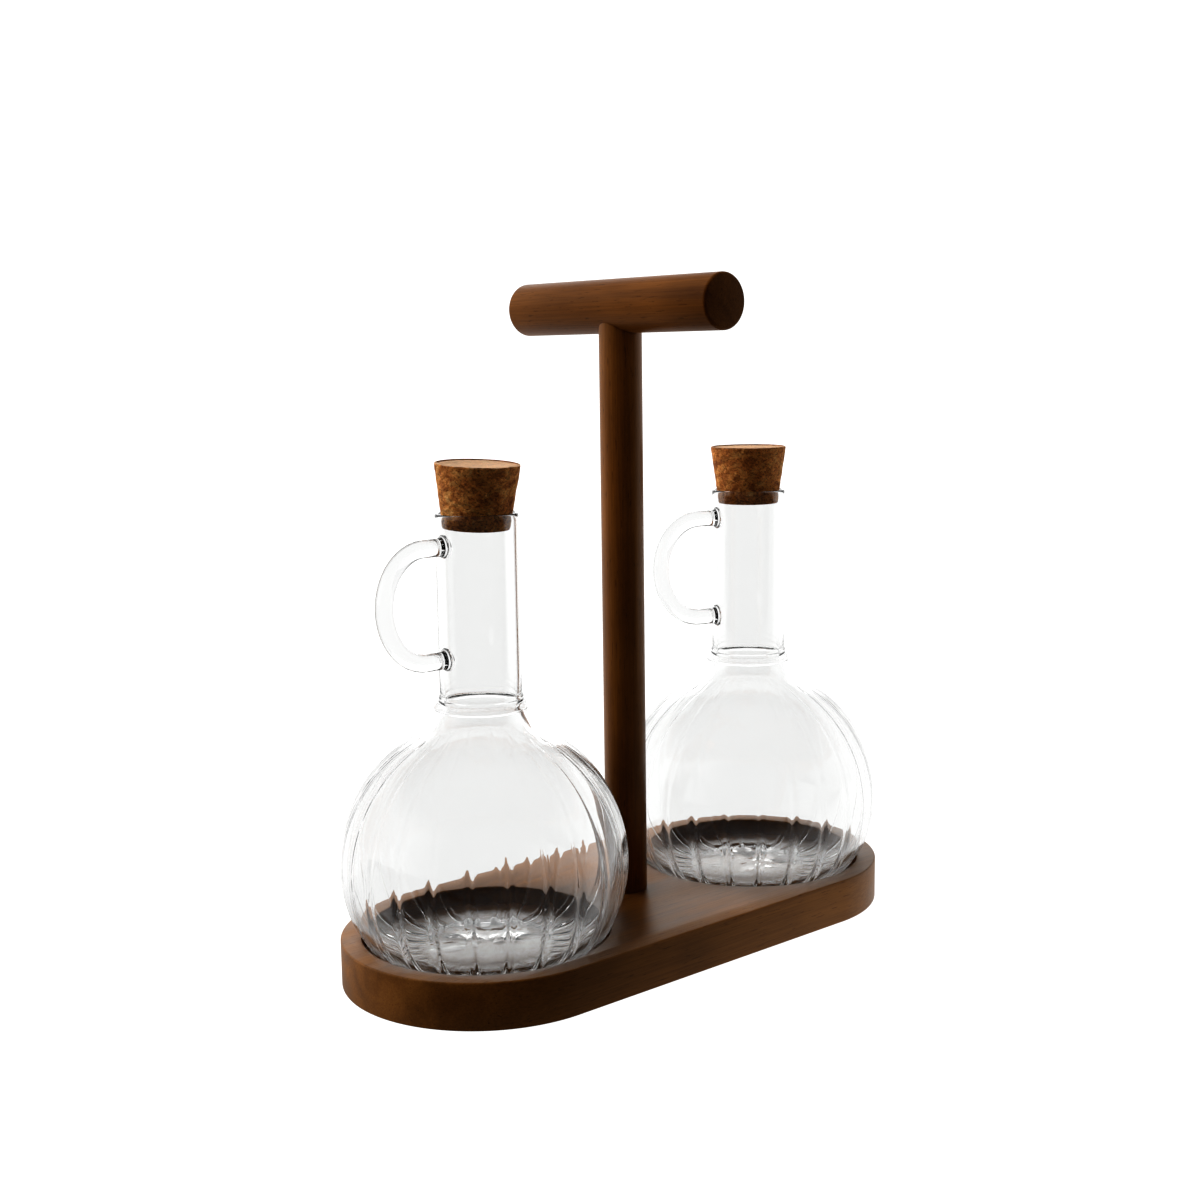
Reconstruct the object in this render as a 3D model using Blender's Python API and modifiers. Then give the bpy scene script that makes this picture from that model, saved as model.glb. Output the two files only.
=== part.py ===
"""Cruet set: two ribbed glass bottles with cork stoppers, standing in the round pockets of a wooden caddy
that is carried by a T-shaped handle. +X runs along the base, +Y along the handle bar, +Z up, and the origin
is at the middle of the base's underside. Each bottle and each stopper lifts straight up along its own axis."""

import math

import bmesh
import bpy
from mathutils import Matrix, Vector

GAP = 0.0003  # left between pieces that touch
MERGE = 0.00001
PAST = 0.002  # how far a cutter runs on beyond what it cuts

# glass bottle, heights from its own foot
BODY_RADIUS = 0.052
BODY_CENTRE = 0.65 * BODY_RADIUS  # the globe is cut off below, so its centre is lower than its radius
HEEL_RADIUS = 0.42 * BODY_RADIUS  # rounding between the globe and the flat foot
SHOULDER_FILLET = 0.27 * BODY_RADIUS
PUNT = 0.0008
BODY_WALL = 0.0022
FLOOR_THICKNESS = 0.0028
RIBS = 24
RIB_DEPTH = 0.0010
RIB_TOP = BODY_CENTRE + 0.80 * BODY_RADIUS
RIB_BOTTOM = 0.06 * BODY_RADIUS
NECK_RADIUS = 0.0146
NECK_WALL = 0.0014
NECK_FOOT = BODY_CENTRE + 1.094 * BODY_RADIUS
NECK_LENGTH = 0.0684
RIM = NECK_FOOT + NECK_LENGTH
COLLAR_HEIGHT = 0.0042
COLLAR_STEP = 0.0010

# glass handle, a bent rod fused to the neck
ROD_RADIUS = 0.00315
HANDLE_HALF_HEIGHT = 0.01975
HANDLE_ARM = 0.0080  # straight part of each arm, outside the neck
HANDLE_BOW = 0.0166  # how far the curve stands out beyond the arms
HANDLE_MIDDLE = NECK_FOOT + 0.552 * NECK_LENGTH
WELD_SWELL = 1.28
WELD_LENGTH = 0.0008  # full swell outside the neck
WELD_FADE = 0.0026  # where the rod is back to its own size
BOW_STEPS = 18
LEFT_HANDLE_TURN = math.radians(180)
RIGHT_HANDLE_TURN = math.radians(163)

# cork stoppers
CORK_LENGTH = 0.0224
CORK_IN_NECK = 0.0053
CORK_TAPER = 0.145  # growth of the radius per unit of length
CORK_CLEARANCE = 0.00035
CORK_EDGE = 0.0004
LEFT_CORK_TILT = math.radians(3.5)
LEFT_CORK_LEAN = math.radians(-80)  # compass direction in which the left stopper leans

# wooden caddy
OVERALL_HEIGHT = 0.250
BASE_THICKNESS = 0.017
BASE_EDGE = 0.0011
POCKET_DEPTH = 0.008
POCKET_CLEARANCE = 0.0007
POCKET_EDGE = 0.0006
POCKET_WALL = 0.0075  # wood between a pocket and the outside of the base
POST_RADIUS = 0.008
POST_EDGE = 0.0004
POST_TO_GLASS = 0.0075
BAR_RADIUS = 0.010
BAR_LENGTH = 0.110
BAR_EDGE = 0.0010
BAR_AXIS = OVERALL_HEIGHT - BAR_RADIUS
BAR_TO_GLASS = 0.004  # least way past the bar for a bottle on its way up

# joints inside the caddy
DOWEL_RADIUS = 0.5 * POST_RADIUS
DOWEL_IN_BAR = 0.95 * BAR_RADIUS
DOWEL_IN_POST = 0.018
DOWEL_EDGE = 0.0008
SCREW_HEAD_RADIUS = 0.0043
SCREW_HEAD_HEIGHT = 0.0030
SCREW_HEAD_EDGE = 0.0004
SCREW_SHANK_RADIUS = 0.0018
SCREW_THREAD_RADIUS = 0.0023
SCREW_PITCH = 0.0022
SCREW_IN_POST = 0.026
SCREW_TIP = 0.005
SCREW_SINK = 0.0006  # head below the underside
SCREW_RECESS_SPAN = 0.0044
SCREW_RECESS_WIDTH = 0.0010
SCREW_RECESS_DEPTH = 0.0018
SCREW_RECESS_TURN = math.radians(20)

BOTTLE_STEPS = 2 * RIBS
ROUND_STEPS = 48
SMALL_STEPS = 32
BAR_STEPS = 64
BASE_END_STEPS = 24

FLOOR = BASE_THICKNESS - POCKET_DEPTH
FOOT = FLOOR + GAP


def outer_radius(height):
    """Radius of the outside of the glass body at a height between the foot and the globe's widest part."""
    heel = heel_centre(BODY_RADIUS, HEEL_RADIUS, BODY_CENTRE)
    if height < heel_top(BODY_RADIUS, HEEL_RADIUS, BODY_CENTRE)[1]:
        return heel[0] + math.sqrt(HEEL_RADIUS**2 - (heel[1] - height) ** 2)
    return math.sqrt(BODY_RADIUS**2 - (BODY_CENTRE - height) ** 2)


def heel_centre(radius, heel, centre):
    """Centre, as (radius, height), of the arc that rounds a globe into the plane `heel` below that centre."""
    return math.sqrt((radius - heel) ** 2 - (centre - heel) ** 2), heel


def heel_top(radius, heel, centre):
    """The point where that arc meets the globe."""
    r, z = heel_centre(radius, heel, centre)
    grow = radius / (radius - heel)
    return r * grow, centre + (z - centre) * grow


def shoulder_centre(radius, fillet, neck):
    """Centre, as (radius, height above the globe's centre), of the hollow arc that ends in the point `neck`."""
    far = radius + fillet
    along = (far**2 - fillet**2 + neck[0] ** 2 + neck[1] ** 2) / 2
    a = neck[0] ** 2 + neck[1] ** 2
    b = -2 * neck[0] * along
    c = along**2 - (neck[1] * far) ** 2
    r = (-b + math.sqrt(b * b - 4 * a * c)) / (2 * a)
    return r, (along - neck[0] * r) / neck[1]


def arc(centre, radius, start, end, count):
    """Points of an arc in the profile plane, angles in radians from +r towards +z."""
    angles = [start + (end - start) * i / (count - 1) for i in range(count)]
    return [(centre[0] + radius * math.cos(a), centre[1] + radius * math.sin(a)) for a in angles]


def globe_side(radius, heel, fillet, centre, foot, neck, counts):
    """Profile of a globe from its flat foot, round the heel, up to the neck, as (radius, height) points."""
    h = heel_centre(radius, heel, centre - foot)
    top = heel_top(radius, heel, centre - foot)
    low = math.atan2(top[1] - (centre - foot), top[0])
    s = shoulder_centre(radius, fillet, (neck[0], neck[1] - centre))
    high = math.atan2(s[1], s[0])
    end = math.atan2(neck[1] - centre - s[1], neck[0] - s[0])
    if end > 0:
        end -= 2 * math.pi
    points = [(r, z + foot) for r, z in arc(h, heel, -math.pi / 2, low, counts[0])]
    points += arc((0, centre), radius, low, high, counts[1])[1:]
    points += arc((s[0], s[1] + centre), fillet, high - math.pi, end, counts[2])[1:]
    return points


# The pocket follows the glass at the base's top, and the base follows the pockets.
POCKET_RADIUS = outer_radius(POCKET_DEPTH - GAP) + POCKET_CLEARANCE
BASE_WIDTH = 2 * (POCKET_RADIUS + POCKET_WALL)
BOTTLE_X = BODY_RADIUS + max(POST_RADIUS + POST_TO_GLASS, BAR_RADIUS + BAR_TO_GLASS)
BASE_LENGTH = BASE_WIDTH + 2 * BOTTLE_X


def material(name, colour, roughness, metallic=0.0, transmission=0.0):
    made = bpy.data.materials.new(name)
    made.use_nodes = True
    shader = made.node_tree.nodes["Principled BSDF"]
    shader.inputs["Base Color"].default_value = (*colour, 1)
    shader.inputs["Roughness"].default_value = roughness
    shader.inputs["Metallic"].default_value = metallic
    shader.inputs["Transmission Weight"].default_value = transmission
    return made


def add(name, data, finish=None):
    """A part with a finish, or a helper with none: helpers stay out of the render, in their own collection."""
    made = bpy.data.objects.new(name, data)
    if finish:
        data.materials.append(finish)
        PARTS.objects.link(made)
    else:
        made.hide_render = True
        made.display_type = "WIRE"
        HELPERS.objects.link(made)
    return made


def turned(name, profile, steps, finish=None, at=(0, 0, 0)):
    """A solid turned about its own Z. The profile runs down the outer side, from the top to the foot."""
    mesh = bpy.data.meshes.new(name)
    edges = [(i, i + 1) for i in range(len(profile) - 1)]
    mesh.from_pydata([(r, 0, z) for r, z in profile], edges, [])
    made = add(name, mesh, finish)
    made.location = at
    turn = made.modifiers.new("turn", "SCREW")
    turn.steps = turn.render_steps = steps
    turn.use_merge_vertices = True
    turn.merge_threshold = MERGE
    turn.use_smooth_shade = True
    return made


def outline(name, points, bottom, height, finish=None):
    """A flat shape of constant thickness, from a closed curve in the XY plane."""
    curve = bpy.data.curves.new(name, "CURVE")
    curve.dimensions = "2D"
    curve.fill_mode = "BOTH"
    curve.extrude = height / 2
    spline = curve.splines.new("POLY")
    spline.points.add(len(points) - 1)
    for point, (x, y) in zip(spline.points, points):
        point.co = (x, y, 0, 1)
    spline.use_cyclic_u = True
    helper = add(name + "_outline", curve)
    helper.location.z = bottom + height / 2
    return as_mesh(helper, name, finish)


def as_mesh(helper, name, finish=None):
    """The helper's evaluated shape as a mesh object at the world's origin. The helper is removed."""
    bpy.context.view_layer.update()
    graph = bpy.context.evaluated_depsgraph_get()
    mesh = bpy.data.meshes.new_from_object(helper.evaluated_get(graph))
    mesh.name = name
    mesh.transform(helper.matrix_world)
    bpy.data.objects.remove(helper)
    made = add(name, mesh, finish)
    weld(made)
    return made


def weld(obj):
    work = bmesh.new()
    work.from_mesh(obj.data)
    bmesh.ops.remove_doubles(work, verts=work.verts, dist=MERGE)
    bmesh.ops.recalc_face_normals(work, faces=work.faces)
    work.to_mesh(obj.data)
    work.free()


def combine(obj, other, operation):
    change = obj.modifiers.new(operation.lower() + "_" + other.name, "BOOLEAN")
    change.operation = operation
    change.solver = "EXACT"
    change.object = other


def ease_edges(obj, width):
    bevel = obj.modifiers.new("eased_edges", "BEVEL")
    bevel.width = width
    bevel.segments = 3
    bevel.limit_method = "ANGLE"
    bevel.angle_limit = math.radians(50)


def lay_along_y(obj, height):
    obj.rotation_euler = (math.pi / 2, 0, 0)
    obj.location = (0, 0, height)


def bottle_profile():
    """Inside of the glass from the middle of its floor up to the rim, then the outside down to the foot."""
    bore = NECK_RADIUS - NECK_WALL
    collar = NECK_RADIUS + 0.6 * COLLAR_STEP
    inner = globe_side(
        BODY_RADIUS - BODY_WALL,
        HEEL_RADIUS - BODY_WALL,
        SHOULDER_FILLET + BODY_WALL,
        BODY_CENTRE,
        FLOOR_THICKNESS,
        (bore, NECK_FOOT - 0.001),
        (5, 9, 4),
    )
    outer = globe_side(
        BODY_RADIUS,
        HEEL_RADIUS,
        SHOULDER_FILLET,
        BODY_CENTRE,
        0,
        (collar, NECK_FOOT),
        (6, 13, 5),
    )
    lip = 0.3 * NECK_WALL
    rim = [(bore, RIM - lip), (bore + lip, RIM), (NECK_RADIUS - lip, RIM), (NECK_RADIUS, RIM - lip)]
    top = NECK_FOOT + COLLAR_HEIGHT
    step = [
        (NECK_RADIUS, top),
        (NECK_RADIUS + COLLAR_STEP, top - 0.2 * COLLAR_HEIGHT),
        (NECK_RADIUS + COLLAR_STEP, NECK_FOOT + 0.3 * COLLAR_HEIGHT),
    ]
    foot = outer[0][0]
    under = [(0.86 * foot, 0), (0.74 * foot, PUNT), (0, PUNT)]
    return [(0, FLOOR_THICKNESS)] + inner + rim + step + outer[::-1] + under


def press_ribs(mesh):
    """Presses every second column of the globe's outside inwards, which leaves the ribs standing."""
    least = BODY_RADIUS - 0.5 * BODY_WALL
    for vertex in mesh.vertices:
        x, y, z = vertex.co
        radius = math.hypot(x, y)
        outside = math.hypot(radius, z - BODY_CENTRE) > least or z < FLOOR_THICKNESS
        if not outside or not RIB_BOTTOM < z < RIB_TOP:
            continue
        column = round(math.atan2(y, x) / (2 * math.pi) * BOTTLE_STEPS)
        if column % 2 == 0:
            continue
        fade = min(1, (RIB_TOP - z) / (0.3 * BODY_RADIUS), (z - RIB_BOTTOM) / (0.12 * BODY_RADIUS))
        depth = RIB_DEPTH * math.sin(fade * math.pi / 2)
        vertex.co.x *= 1 - depth / radius
        vertex.co.y *= 1 - depth / radius


def handle_path():
    """Centre line of the glass rod in the profile plane, from its upper end in the neck's wall to its lower."""
    start = NECK_RADIUS - 0.6 * NECK_WALL
    bend = NECK_RADIUS + HANDLE_ARM
    arms = [start, NECK_RADIUS + WELD_LENGTH, NECK_RADIUS + WELD_FADE]
    upper = [(r, HANDLE_HALF_HEIGHT) for r in arms]
    bow = [
        (bend + HANDLE_BOW * math.sin(a), HANDLE_HALF_HEIGHT * math.cos(a))
        for a in (math.pi * i / BOW_STEPS for i in range(BOW_STEPS + 1))
    ]
    return upper + bow + [(r, -z) for r, z in upper[::-1]]


def glass_handle(name, turn, at):
    curve = bpy.data.curves.new(name, "CURVE")
    curve.dimensions = "3D"
    curve.bevel_depth = ROD_RADIUS
    curve.bevel_resolution = 4
    curve.use_fill_caps = True
    path = handle_path()
    spline = curve.splines.new("POLY")
    spline.points.add(len(path) - 1)
    for i, (point, (r, z)) in enumerate(zip(spline.points, path)):
        point.co = (r * math.cos(turn), r * math.sin(turn), HANDLE_MIDDLE + z, 1)
        point.radius = WELD_SWELL if min(i, len(path) - 1 - i) < 2 else 1
    helper = add(name + "_line", curve)
    helper.location = at
    return as_mesh(helper, name)


def bottle(name, x, turn):
    at = (x, 0, FOOT)
    blank = turned(name + "_blank", bottle_profile(), BOTTLE_STEPS)
    made = as_mesh(blank, name, GLASS)
    press_ribs(made.data)
    made.location = at
    combine(made, glass_handle(name + "_handle", turn, at), "UNION")
    return made


def cork(name, x, tilt=0.0, lean=0.0):
    """A tapered stopper. Its origin is on the bottle's axis, at the rim, and a tilt turns it about that point."""
    at_rim = NECK_RADIUS - NECK_WALL - CORK_CLEARANCE
    low = -CORK_IN_NECK
    high = low + CORK_LENGTH
    small = at_rim + CORK_TAPER * low
    large = at_rim + CORK_TAPER * high
    profile = [
        (0, high),
        (large - CORK_EDGE, high),
        (large - CORK_TAPER * CORK_EDGE, high - CORK_EDGE),
        (small + CORK_TAPER * CORK_EDGE, low + CORK_EDGE),
        (small - CORK_EDGE, low),
        (0, low),
    ]
    made = turned(name, profile, ROUND_STEPS, CORK, (x, 0, FOOT + RIM))
    axis = Vector((-math.sin(lean), math.cos(lean), 0))
    made.rotation_euler = Matrix.Rotation(tilt, 3, axis).to_euler()
    return made


def base():
    half = BASE_WIDTH / 2
    ends = []
    for side in (1, -1):
        for i in range(BASE_END_STEPS + 1):
            a = -side * math.pi / 2 + math.pi * i / BASE_END_STEPS
            ends.append((side * BOTTLE_X + half * math.cos(a), half * math.sin(a)))
    made = outline("caddy_base", ends, 0, BASE_THICKNESS, WALNUT)
    ease_edges(made, BASE_EDGE)
    combine(made, pocket("left_pocket", -BOTTLE_X), "DIFFERENCE")
    combine(made, pocket("right_pocket", BOTTLE_X), "DIFFERENCE")
    combine(made, screw_hole(), "DIFFERENCE")
    return made


def pocket(name, x):
    above = BASE_THICKNESS + PAST
    profile = [
        (0, above),
        (POCKET_RADIUS + POCKET_EDGE, above),
        (POCKET_RADIUS + POCKET_EDGE, BASE_THICKNESS),
        (POCKET_RADIUS, BASE_THICKNESS - POCKET_EDGE),
        (POCKET_RADIUS, FLOOR + POCKET_EDGE),
        (POCKET_RADIUS - POCKET_EDGE, FLOOR),
        (0, FLOOR),
    ]
    return turned(name, profile, ROUND_STEPS, None, (x, 0, 0))


def screw_hole():
    """Countersink and clearance hole for the screw, from under the base."""
    hole = SCREW_THREAD_RADIUS + GAP
    head = SCREW_HEAD_RADIUS + GAP
    above = BASE_THICKNESS + PAST
    profile = [
        (0, above),
        (hole, above),
        (hole, SCREW_SINK + SCREW_HEAD_HEIGHT + 2 * GAP),
        (head, SCREW_SINK + 2 * GAP),
        (head, -PAST),
        (0, -PAST),
    ]
    return turned("screw_clearance", profile, SMALL_STEPS)


def post():
    """The post's top is coped to the bar, and is bored for the dowel above and the screw below."""
    foot = BASE_THICKNESS + GAP
    head = BAR_AXIS - 0.3 * BAR_RADIUS
    profile = [
        (0, head),
        (POST_RADIUS, head),
        (POST_RADIUS, foot + POST_EDGE),
        (POST_RADIUS - POST_EDGE, foot),
        (0, foot),
    ]
    made = turned("caddy_post", profile, ROUND_STEPS, WALNUT_POST)
    r, half = BAR_RADIUS + GAP, POST_RADIUS + PAST
    saddle = turned("post_saddle", [(0, half), (r, half), (r, -half), (0, -half)], BAR_STEPS)
    lay_along_y(saddle, BAR_AXIS)
    combine(made, saddle, "DIFFERENCE")
    combine(made, dowel_hole("post_dowel_hole"), "DIFFERENCE")
    r = SCREW_THREAD_RADIUS + GAP
    top, low = BASE_THICKNESS + SCREW_IN_POST + PAST, foot - PAST
    pilot = turned("post_pilot_hole", [(0, top), (r, top - r), (r, low), (0, low)], SMALL_STEPS)
    combine(made, pilot, "DIFFERENCE")
    return made


def dowel_hole(name):
    r = DOWEL_RADIUS + GAP
    saddle = BAR_AXIS - BAR_RADIUS
    high = saddle + DOWEL_IN_BAR + 2 * GAP
    low = saddle - DOWEL_IN_POST - 2 * GAP
    return turned(name, [(0, high), (r, high), (r, low), (0, low)], SMALL_STEPS)


def bar():
    half = BAR_LENGTH / 2
    ends = [(0, half), (BAR_RADIUS, half), (BAR_RADIUS, -half), (0, -half)]
    blank = turned("bar_blank", ends, BAR_STEPS)
    lay_along_y(blank, BAR_AXIS)
    made = as_mesh(blank, "caddy_bar", WALNUT_BAR)
    made.data.polygons.foreach_set("use_smooth", [True] * len(made.data.polygons))
    ease_edges(made, BAR_EDGE)
    combine(made, dowel_hole("bar_dowel_hole"), "DIFFERENCE")
    return made


def dowel():
    saddle = BAR_AXIS - BAR_RADIUS
    high = saddle + DOWEL_IN_BAR
    low = saddle - DOWEL_IN_POST
    profile = [
        (0, high),
        (DOWEL_RADIUS - DOWEL_EDGE, high),
        (DOWEL_RADIUS, high - DOWEL_EDGE),
        (DOWEL_RADIUS, low + DOWEL_EDGE),
        (DOWEL_RADIUS - DOWEL_EDGE, low),
        (0, low),
    ]
    return turned("bar_dowel", profile, SMALL_STEPS, BEECH)


def screw():
    """A countersunk wood screw, its point up. Its thread is a stack of rings."""
    head = SCREW_SINK
    cone = head + SCREW_HEAD_HEIGHT
    end = BASE_THICKNESS + SCREW_IN_POST
    tip = end - SCREW_TIP
    profile = [(0, end), (SCREW_SHANK_RADIUS, tip)]
    for i in range(int((tip - BASE_THICKNESS) / SCREW_PITCH) - 1):
        z = tip - i * SCREW_PITCH
        profile.append((SCREW_SHANK_RADIUS, z - 0.3 * SCREW_PITCH))
        profile.append((SCREW_THREAD_RADIUS, z - 0.6 * SCREW_PITCH))
        profile.append((SCREW_SHANK_RADIUS, z - 0.9 * SCREW_PITCH))
    profile.append((SCREW_SHANK_RADIUS, cone))
    profile += [(SCREW_HEAD_RADIUS, head + SCREW_HEAD_EDGE), (SCREW_HEAD_RADIUS, head), (0, head)]
    made = turned("post_screw", profile, ROUND_STEPS // 2, STEEL)
    w, t = SCREW_RECESS_SPAN / 2, SCREW_RECESS_WIDTH / 2
    arms = [(t, t), (t, w), (-t, w), (-t, t), (-w, t), (-w, -t)]
    arms += [(-t, -t), (-t, -w), (t, -w), (t, -t), (w, -t), (w, t)]
    cross = Matrix.Rotation(SCREW_RECESS_TURN, 2)
    recess = outline("screw_recess", [cross @ Vector(p) for p in arms], head - PAST, PAST + SCREW_RECESS_DEPTH)
    combine(made, recess, "DIFFERENCE")
    return made


for old in list(bpy.data.objects):
    bpy.data.objects.remove(old)
PARTS = bpy.data.collections.new("cruet_set")
HELPERS = bpy.data.collections.new("helpers")
for group in (PARTS, HELPERS):
    bpy.context.scene.collection.children.link(group)

WALNUT = material("walnut_base", (0.105, 0.058, 0.032), 0.5)
WALNUT_POST = material("walnut_post", (0.115, 0.050, 0.022), 0.5)
WALNUT_BAR = material("walnut_bar", (0.120, 0.055, 0.028), 0.5)
BEECH = material("beech_dowel", (0.55, 0.36, 0.20), 0.6)
STEEL = material("zinc_plated_screw", (0.62, 0.62, 0.60), 0.35, 1.0)
GLASS = material("clear_glass", (0.93, 0.96, 0.95), 0.02, 0.0, 1.0)
CORK = material("pressed_cork", (0.42, 0.24, 0.12), 0.85)

base()
post()
bar()
dowel()
screw()
bottle("bottle_left", -BOTTLE_X, LEFT_HANDLE_TURN)
bottle("bottle_right", BOTTLE_X, RIGHT_HANDLE_TURN)
cork("cork_left", -BOTTLE_X, LEFT_CORK_TILT, LEFT_CORK_LEAN)
cork("cork_right", BOTTLE_X)
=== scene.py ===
"""Cruet set: two ribbed glass bottles with cork stoppers in a dark wooden caddy, on a pale studio floor."""

import math

import bmesh
import bpy
from mathutils import Matrix, Vector


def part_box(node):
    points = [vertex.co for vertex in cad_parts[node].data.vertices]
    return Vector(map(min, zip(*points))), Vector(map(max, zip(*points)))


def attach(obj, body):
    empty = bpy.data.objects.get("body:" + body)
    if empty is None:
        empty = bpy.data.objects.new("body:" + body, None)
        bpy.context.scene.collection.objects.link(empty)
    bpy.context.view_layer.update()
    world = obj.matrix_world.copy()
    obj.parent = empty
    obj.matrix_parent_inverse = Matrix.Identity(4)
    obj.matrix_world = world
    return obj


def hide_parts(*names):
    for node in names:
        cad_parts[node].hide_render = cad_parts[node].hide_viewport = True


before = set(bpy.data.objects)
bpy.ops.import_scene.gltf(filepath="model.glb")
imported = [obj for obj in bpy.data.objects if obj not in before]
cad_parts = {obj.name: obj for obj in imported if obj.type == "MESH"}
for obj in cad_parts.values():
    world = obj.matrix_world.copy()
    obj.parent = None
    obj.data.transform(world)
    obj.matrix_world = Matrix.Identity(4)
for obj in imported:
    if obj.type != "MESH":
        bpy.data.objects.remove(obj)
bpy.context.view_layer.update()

# caddy, read off the frame
_, base_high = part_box("caddy_base")
BASE_TOP = base_high.z
BASE_HALF_WIDTH = base_high.y
BOTTLE_X = base_high.x - base_high.y
_, post_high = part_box("caddy_post")
POST_RADIUS = post_high.y
POST_EDGE = 0.0005
POST_SINK = 0.0002  # the post's foot goes this far into the board
bar_low, bar_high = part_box("caddy_bar")
BAR_RADIUS = bar_high.x
BAR_AXIS = bar_high.z - BAR_RADIUS
BAR_EDGE = 0.0011
BASE_EDGE = 0.0011
POCKET_DEPTH = 0.008
POCKET_WALL = 0.0075
POCKET_RADIUS = BASE_HALF_WIDTH - POCKET_WALL
SEAM = 0.00012  # fine line where the post meets the bar
SINK_MOUTH_RADIUS = 0.0047
SINK_BORE_RADIUS = 0.0019
SINK_FLOOR = 0.0012
SINK_TAPER = 0.0032

# bottle, heights from its foot
bottle_low, bottle_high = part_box("bottle_right")
FOOT = bottle_low.z
RIM = bottle_high.z - FOOT
BODY_RADIUS = bottle_high.y
BODY_CENTRE = 0.65 * BODY_RADIUS
HEEL_RADIUS = 0.42 * BODY_RADIUS
SHOULDER_FILLET = 0.40 * BODY_RADIUS
NECK_FOOT = BODY_CENTRE + 1.094 * BODY_RADIUS
NECK_RADIUS = 0.0146
NECK_WALL = 0.0014
NECK_PLAIN_FROM = 0.0010  # the straight wall starts this far above the collar
NECK_PLAIN_TO = 0.0024  # and stops this far below the rim
BORE_STEP = 0.0008  # the bore opens out this far below the collar's foot
BODY_WALL = 0.0021
FLOOR_THICKNESS = 0.0027
FLOOR_CROWN = 0.0006
FLOOR_RIPPLE = 0.0016
FLOOR_RIPPLE_SIZE = 0.010
PUNT_RISE = 0.0011  # hollow under the floor, over this share of the flat foot
PUNT_SHARE = 0.95
COLLAR_FOOT = NECK_FOOT - 0.0012
COLLAR_HEIGHT = 0.0049
COLLAR_STEP = 0.00045
COLLAR_FOOT_STEP = 0.0019
RIBS = 24
RIB_HEIGHT = 0.00044
RIB_WIDTH = 0.0009
RIB_TOP = BODY_CENTRE + 0.92 * BODY_RADIUS
ROD_RADIUS = 0.00315
ROD_SIDES = 48
ROD_BENDS = 44
ROD_SWELL = (  # size of the rod by distance from its end, where it was fused on hot
    (0.0, 1.36),
    (0.0008, 1.36),
    (0.0011, 1.22),
    (0.0015, 1.12),
    (0.0021, 1.05),
    (0.0030, 1.0),
)
WELD_SPACING = 0.0009  # rings of the neck's wall round each weld
WELD_RINGS = 5
HANDLE_HALF_HEIGHT = 0.01975
HANDLE_ARM = 0.0080
HANDLE_BOW = 0.0166
HANDLE_MIDDLE = NECK_FOOT + 0.552 * (RIM - NECK_FOOT)
COLUMNS = 432
BOTTLE_TURNS = {"left": math.radians(180), "right": math.radians(163)}
RIB_TURNS = {"left": math.radians(3), "right": math.radians(5)}

# corks
cork_low, cork_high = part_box("cork_right")
CORK_TOP_RADIUS = cork_high.y
CORK_LENGTH = cork_high.z - cork_low.z
CORK_TAPER = 0.145
CORK_FOOT_RADIUS = CORK_TOP_RADIUS - CORK_TAPER * CORK_LENGTH
LEFT_CORK_TILT = math.radians(3.5)
LEFT_CORK_LEAN = math.radians(-80)
CORK_EDGE = 0.0005
CORK_RINGS = 12
CORK_BANDS = 70
CRUMB_SIZE = 0.0030
CRUMB_DEPTH = 0.00030
GRIT_SIZE = 0.0009
GRIT_DEPTH = 0.00016

# studio: which way the room is dark and where it is lit from, then the camera
DARK_SIDE = (-0.360, -0.933, 0.0)
SOFT_BOX = (-0.340, 0.540, 0.770)
LOW_PANEL = (0.612, 0.712, 0.345)
FLOOR_AWAY = (0.658, 0.753, 0)
EYE = (-0.3982, -0.4557, 0.2204)
AIM = (0, 0, 0.1236)
ROLL = math.radians(-0.653)
LENS = 48.37
SHIFT = (-0.01958, 0.01468)


# ---------- small tools ----------


def deselect():
    if bpy.context.mode != "OBJECT":
        bpy.ops.object.mode_set(mode="OBJECT")
    bpy.ops.object.select_all(action="DESELECT")


def only(obj):
    deselect()
    obj.select_set(True)
    bpy.context.view_layer.objects.active = obj


def edit(obj, mode="VERT"):
    only(obj)
    bpy.ops.object.mode_set(mode="EDIT")
    bpy.ops.mesh.select_mode(type=mode)
    bpy.ops.mesh.select_all(action="DESELECT")


def pick(obj, test, kind="verts"):
    """Selects, in edit mode, the vertices, edges or faces that pass the test."""
    mesh = bmesh.from_edit_mesh(obj.data)
    for part in getattr(mesh, kind):
        part.select_set(test(part))
    mesh.select_flush_mode()
    bmesh.update_edit_mesh(obj.data)


def turn(axis, angle, centre):
    """Turns the selection by the right-hand rule; the operator's own value runs the other way."""
    bpy.ops.transform.rotate(value=-angle, orient_axis=axis, center_override=centre)


def done(obj, name, smooth=35):
    """Back to object mode, named, at the origin, shaded smooth up to an angle."""
    only(obj)
    bpy.ops.object.transform_apply(location=True, rotation=True, scale=True)
    bpy.ops.object.shade_smooth_by_angle(angle=math.radians(smooth))
    obj.name = obj.data.name = name
    return obj


def apply(obj, modifier):
    only(obj)
    bpy.ops.object.modifier_apply(modifier=modifier.name)


def bevel(obj, width, segments):
    change = obj.modifiers.new("eased", "BEVEL")
    change.width = width
    change.segments = segments
    change.limit_method = "ANGLE"
    change.angle_limit = math.radians(40)
    change.harden_normals = False
    apply(obj, change)


def boolean(obj, other, operation):
    change = obj.modifiers.new(operation, "BOOLEAN")
    change.operation = operation
    change.solver = "EXACT"
    change.object = other
    apply(obj, change)
    bpy.data.objects.remove(other)


# ---------- finishes ----------


def nodes_of(name):
    made = bpy.data.materials.new(name)
    made.use_nodes = True
    tree = made.node_tree
    return made, tree, tree.nodes["Principled BSDF"]


def node(tree, kind, **values):
    made = tree.nodes.new(kind)
    for key, value in values.items():  # a socket's value where the node has that socket, or else a setting
        if key in made.inputs:
            made.inputs[key].default_value = value
        else:
            setattr(made, key, value)
    return made


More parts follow.
